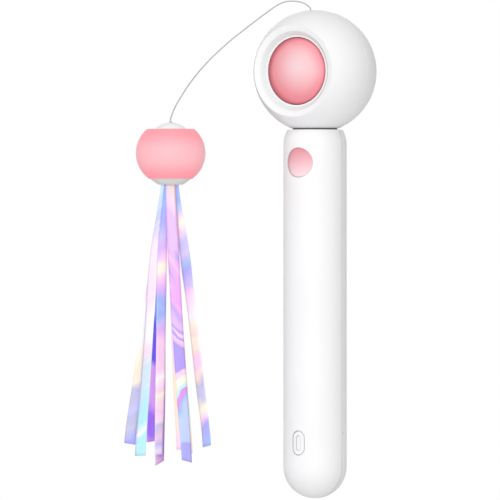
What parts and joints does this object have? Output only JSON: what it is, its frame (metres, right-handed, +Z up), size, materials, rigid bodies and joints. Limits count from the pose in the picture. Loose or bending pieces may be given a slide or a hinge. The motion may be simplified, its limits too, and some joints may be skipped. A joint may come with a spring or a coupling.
{
  "type": "cat teaser wand",
  "caption": "Electric cat teaser wand: slim rounded handle with push button and charging port, ball head with a reel, arched line, toy ball with hanging film strips.",
  "frame": {"origin": "on the handle's axis at the middle of the grip, where a hand holds the wand", "axes": "+Z up along the handle to the head, -Y to the front (button, port and dome), +X to the right of the front view"},
  "size_m": [0.1047, 0.0783, 0.2239],
  "materials": {
    "shell_white": "satin moulded",
    "trim_white": "matt soft-touch",
    "collar_grey": "matt",
    "pink_gloss": "satin",
    "ball_pink": "smooth matt",
    "cap_white": "satin",
    "board_green": "solder mask",
    "chip_black": "matt",
    "steel": "bright",
    "brass": "turned",
    "cell_wrap": "shrink sleeve",
    "foam": "open foam",
    "wire_red": "insulation",
    "nylon": "moulded nylon",
    "line_grey": "coated line",
    "film": "iridescent film"
  },
  "bodies": {
    "wand": {"handle_front_shell": "shell_white", "handle_back_shell": "shell_white", "handle_screws": "steel", "screw_plugs": "trim_white", "neck_collar": "collar_grey", "control_board": "board_green", "board_chips": "chip_black", "button_switch": "steel", "charging_socket": "steel", "socket_tongue": "chip_black", "battery_cell": "cell_wrap", "battery_pad": "foam", "battery_tabs": "steel", "motor_leads": "wire_red", "head_front_shell": "shell_white", "head_back_shell": "shell_white", "dome_cover": "pink_gloss", "line_eyelet": "trim_white", "frame_front_plate": "nylon", "frame_back_plate": "nylon", "frame_posts": "steel", "frame_screws": "steel", "reel_axle": "steel", "idler_axle": "steel", "reel_motor": "steel", "motor_endcap": "chip_black", "line_feed": "line_grey"},
    "button": {"power_button": "pink_gloss", "switch_plunger": "chip_black"},
    "cover": {"port_cover": "trim_white"},
    "reel": {"reel_spool": "nylon", "spool_bush": "brass", "spool_gear": "nylon", "line_winding": "line_grey"},
    "idler": {"reduction_gear": "nylon"},
    "pinion": {"motor_pinion": "brass", "motor_shaft": "steel"},
    "line": {"line": "line_grey"},
    "bead": {"hang_bead": "line_grey"},
    "cup": {"hang_cup": "steel"},
    "toy": {"toy_ball": "ball_pink", "toy_top_cap": "cap_white", "toy_bottom_cap": "cap_white", "toy_spindle": "nylon", "ribbon_clamp": "nylon", "ribbon_1": "film", "ribbon_2": "film", "ribbon_3": "film", "ribbon_4": "film", "ribbon_5": "film", "ribbon_6": "film", "ribbon_7": "film", "ribbon_8": "film", "ribbon_9": "film"}
  },
  "joints": [
    {"name": "button_press", "type": "slide", "parent": "wand", "child": "button", "axis": [0, 1, 0], "range_m": [0, 0.0005], "stiffness_N_per_m": 400, "springref_m": -0.0005},
    {"name": "cover_flap", "type": "hinge", "parent": "wand", "child": "cover", "pos_m": [0, -0.01425, -0.067], "axis": [1, 0, 0], "range_deg": [0, 110]},
    {"name": "reel_spin", "type": "hinge", "parent": "wand", "child": "reel", "pos_m": [0, -0.0038, 0.1055], "axis": [0, 1, 0], "continuous": true},
    {"name": "idler_spin", "type": "hinge", "parent": "wand", "child": "idler", "pos_m": [-0.00771, 0.003, 0.09903], "axis": [0, 1, 0], "continuous": true},
    {"name": "pinion_spin", "type": "hinge", "parent": "wand", "child": "pinion", "pos_m": [0, 0.004, 0.09427], "axis": [0, 1, 0], "continuous": true},
    {"name": "line_swivel", "type": "hinge", "parent": "wand", "child": "line", "pos_m": [0, -0.0038, 0.1325], "axis": [0, 0, 1], "continuous": true},
    {"name": "toy_swing_side", "type": "hinge", "parent": "line", "child": "bead", "pos_m": [-0.05478, -0.03492, 0.08215], "axis": [0.4939, -0.8695, 0], "range_deg": [-45, 10]},
    {"name": "toy_swing_front", "type": "hinge", "parent": "bead", "child": "cup", "pos_m": [-0.05478, -0.03492, 0.08215], "axis": [0.8695, 0.4939, 0], "range_deg": [-45, 45]},
    {"name": "toy_spin", "type": "hinge", "parent": "cup", "child": "toy", "pos_m": [-0.05478, -0.03492, 0.08215], "axis": [0, 0, 1], "continuous": true}
  ],
  "couplings": [
    {"joint": "idler_spin", "follows": "reel_spin", "ratio": -3},
    {"joint": "pinion_spin", "follows": "reel_spin", "ratio": 9}
  ]
}
